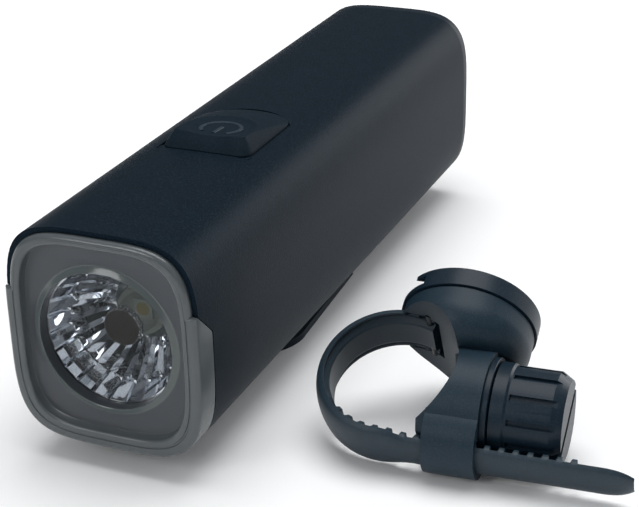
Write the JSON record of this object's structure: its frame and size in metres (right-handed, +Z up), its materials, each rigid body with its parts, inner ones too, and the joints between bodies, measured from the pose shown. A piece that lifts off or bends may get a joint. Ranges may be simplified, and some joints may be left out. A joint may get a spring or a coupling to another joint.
{
  "type": "bicycle headlight",
  "caption": "Slim square-section bicycle headlight with a smoke lens, fluted reflector and top button, beside its strap-on handlebar bracket with a worm knob and toothed strap.",
  "frame": {"origin": "middle of the underside of the light's mounting foot, on the surface that the light and the bracket rest on", "axes": "+Z up; the beam points along -Y; +X is to the right when looking along +Y, and the bracket lies on that side"},
  "size_m": [0.1034, 0.1411, 0.0471],
  "materials": {
    "tube_aluminium": "matte black anodised",
    "smoke_lens": "smoke translucent polycarbonate",
    "seal_rubber": "moulded silicone",
    "reflector_metal": "vacuum metallised bowl",
    "clear_optic": "clear moulded optic",
    "emitter_phosphor": "phosphor over a chip",
    "core_board": "white solder mask on metal core",
    "sink_aluminium": "machined",
    "cradle_plastic": "moulded",
    "cell_sleeve": "shrink sleeve over a steel can",
    "board_laminate": "green solder mask",
    "switch_steel": "stamped",
    "button_rubber": "moulded silicone, matte",
    "socket_steel": "nickel plated",
    "cap_plastic": "moulded, fine texture",
    "screw_steel": "plated",
    "cover_rubber": "moulded",
    "foot_plastic": "moulded",
    "platform_plastic": "moulded, satin",
    "bracket_plastic": "moulded, satin",
    "pad_rubber": "moulded",
    "strap_rubber": "moulded, satin",
    "worm_plastic": "moulded",
    "knob_plastic": "moulded, satin"
  },
  "bodies": {
    "light": {"body_shell": "tube_aluminium", "front_lens": "smoke_lens", "lens_seal": "seal_rubber", "reflector": "reflector_metal", "collimator": "clear_optic", "led_emitter": "emitter_phosphor", "led_board": "core_board", "heat_sink": "sink_aluminium", "cell_cradle": "cradle_plastic", "battery_cell": "cell_sleeve", "control_board": "board_laminate", "tact_switch": "switch_steel", "button_frame": "cradle_plastic", "usb_socket": "socket_steel", "rear_cap": "cap_plastic", "rear_seal": "seal_rubber", "rear_screws": "screw_steel", "mount_foot": "foot_plastic", "foot_screws": "screw_steel"},
    "button": {"power_button": "button_rubber"},
    "port_flap": {"port_cover": "cover_rubber"},
    "bracket": {"bracket_body": "bracket_plastic", "bar_pad": "pad_rubber", "strap": "strap_rubber", "strap_pin": "screw_steel", "retaining_collar": "bracket_plastic", "pivot_screw": "screw_steel", "friction_washer": "screw_steel"},
    "swivel": {"platform": "platform_plastic"},
    "knob": {"clamp_knob": "knob_plastic", "worm_screw": "worm_plastic"}
  },
  "joints": [
    {"name": "button_press", "type": "slide", "parent": "light", "child": "button", "axis": [0, 0, -1], "range_m": [0, 0.0006], "stiffness_N_per_m": 800},
    {"name": "port_flap_hinge", "type": "hinge", "parent": "light", "child": "port_flap", "pos_m": [0, 0.0738, 0.03305], "axis": [-1, 0, 0], "range_deg": [0, 110], "stiffness_Nm_per_rad": 0.002},
    {"name": "bracket_lift", "type": "slide", "parent": "light", "child": "bracket", "axis": [0, 0, 1], "range_m": [0, 0.06]},
    {"name": "platform_swivel", "type": "hinge", "parent": "bracket", "child": "swivel", "pos_m": [0.05, -0.022, 0.01875], "axis": [-0.0621, 0.8886, 0.4545], "range_deg": [-90, 90]},
    {"name": "knob_turn", "type": "hinge", "parent": "bracket", "child": "knob", "pos_m": [0.05124, -0.03968, 0.0097], "axis": [0.9976, 0.0698, 0], "continuous": true}
  ]
}
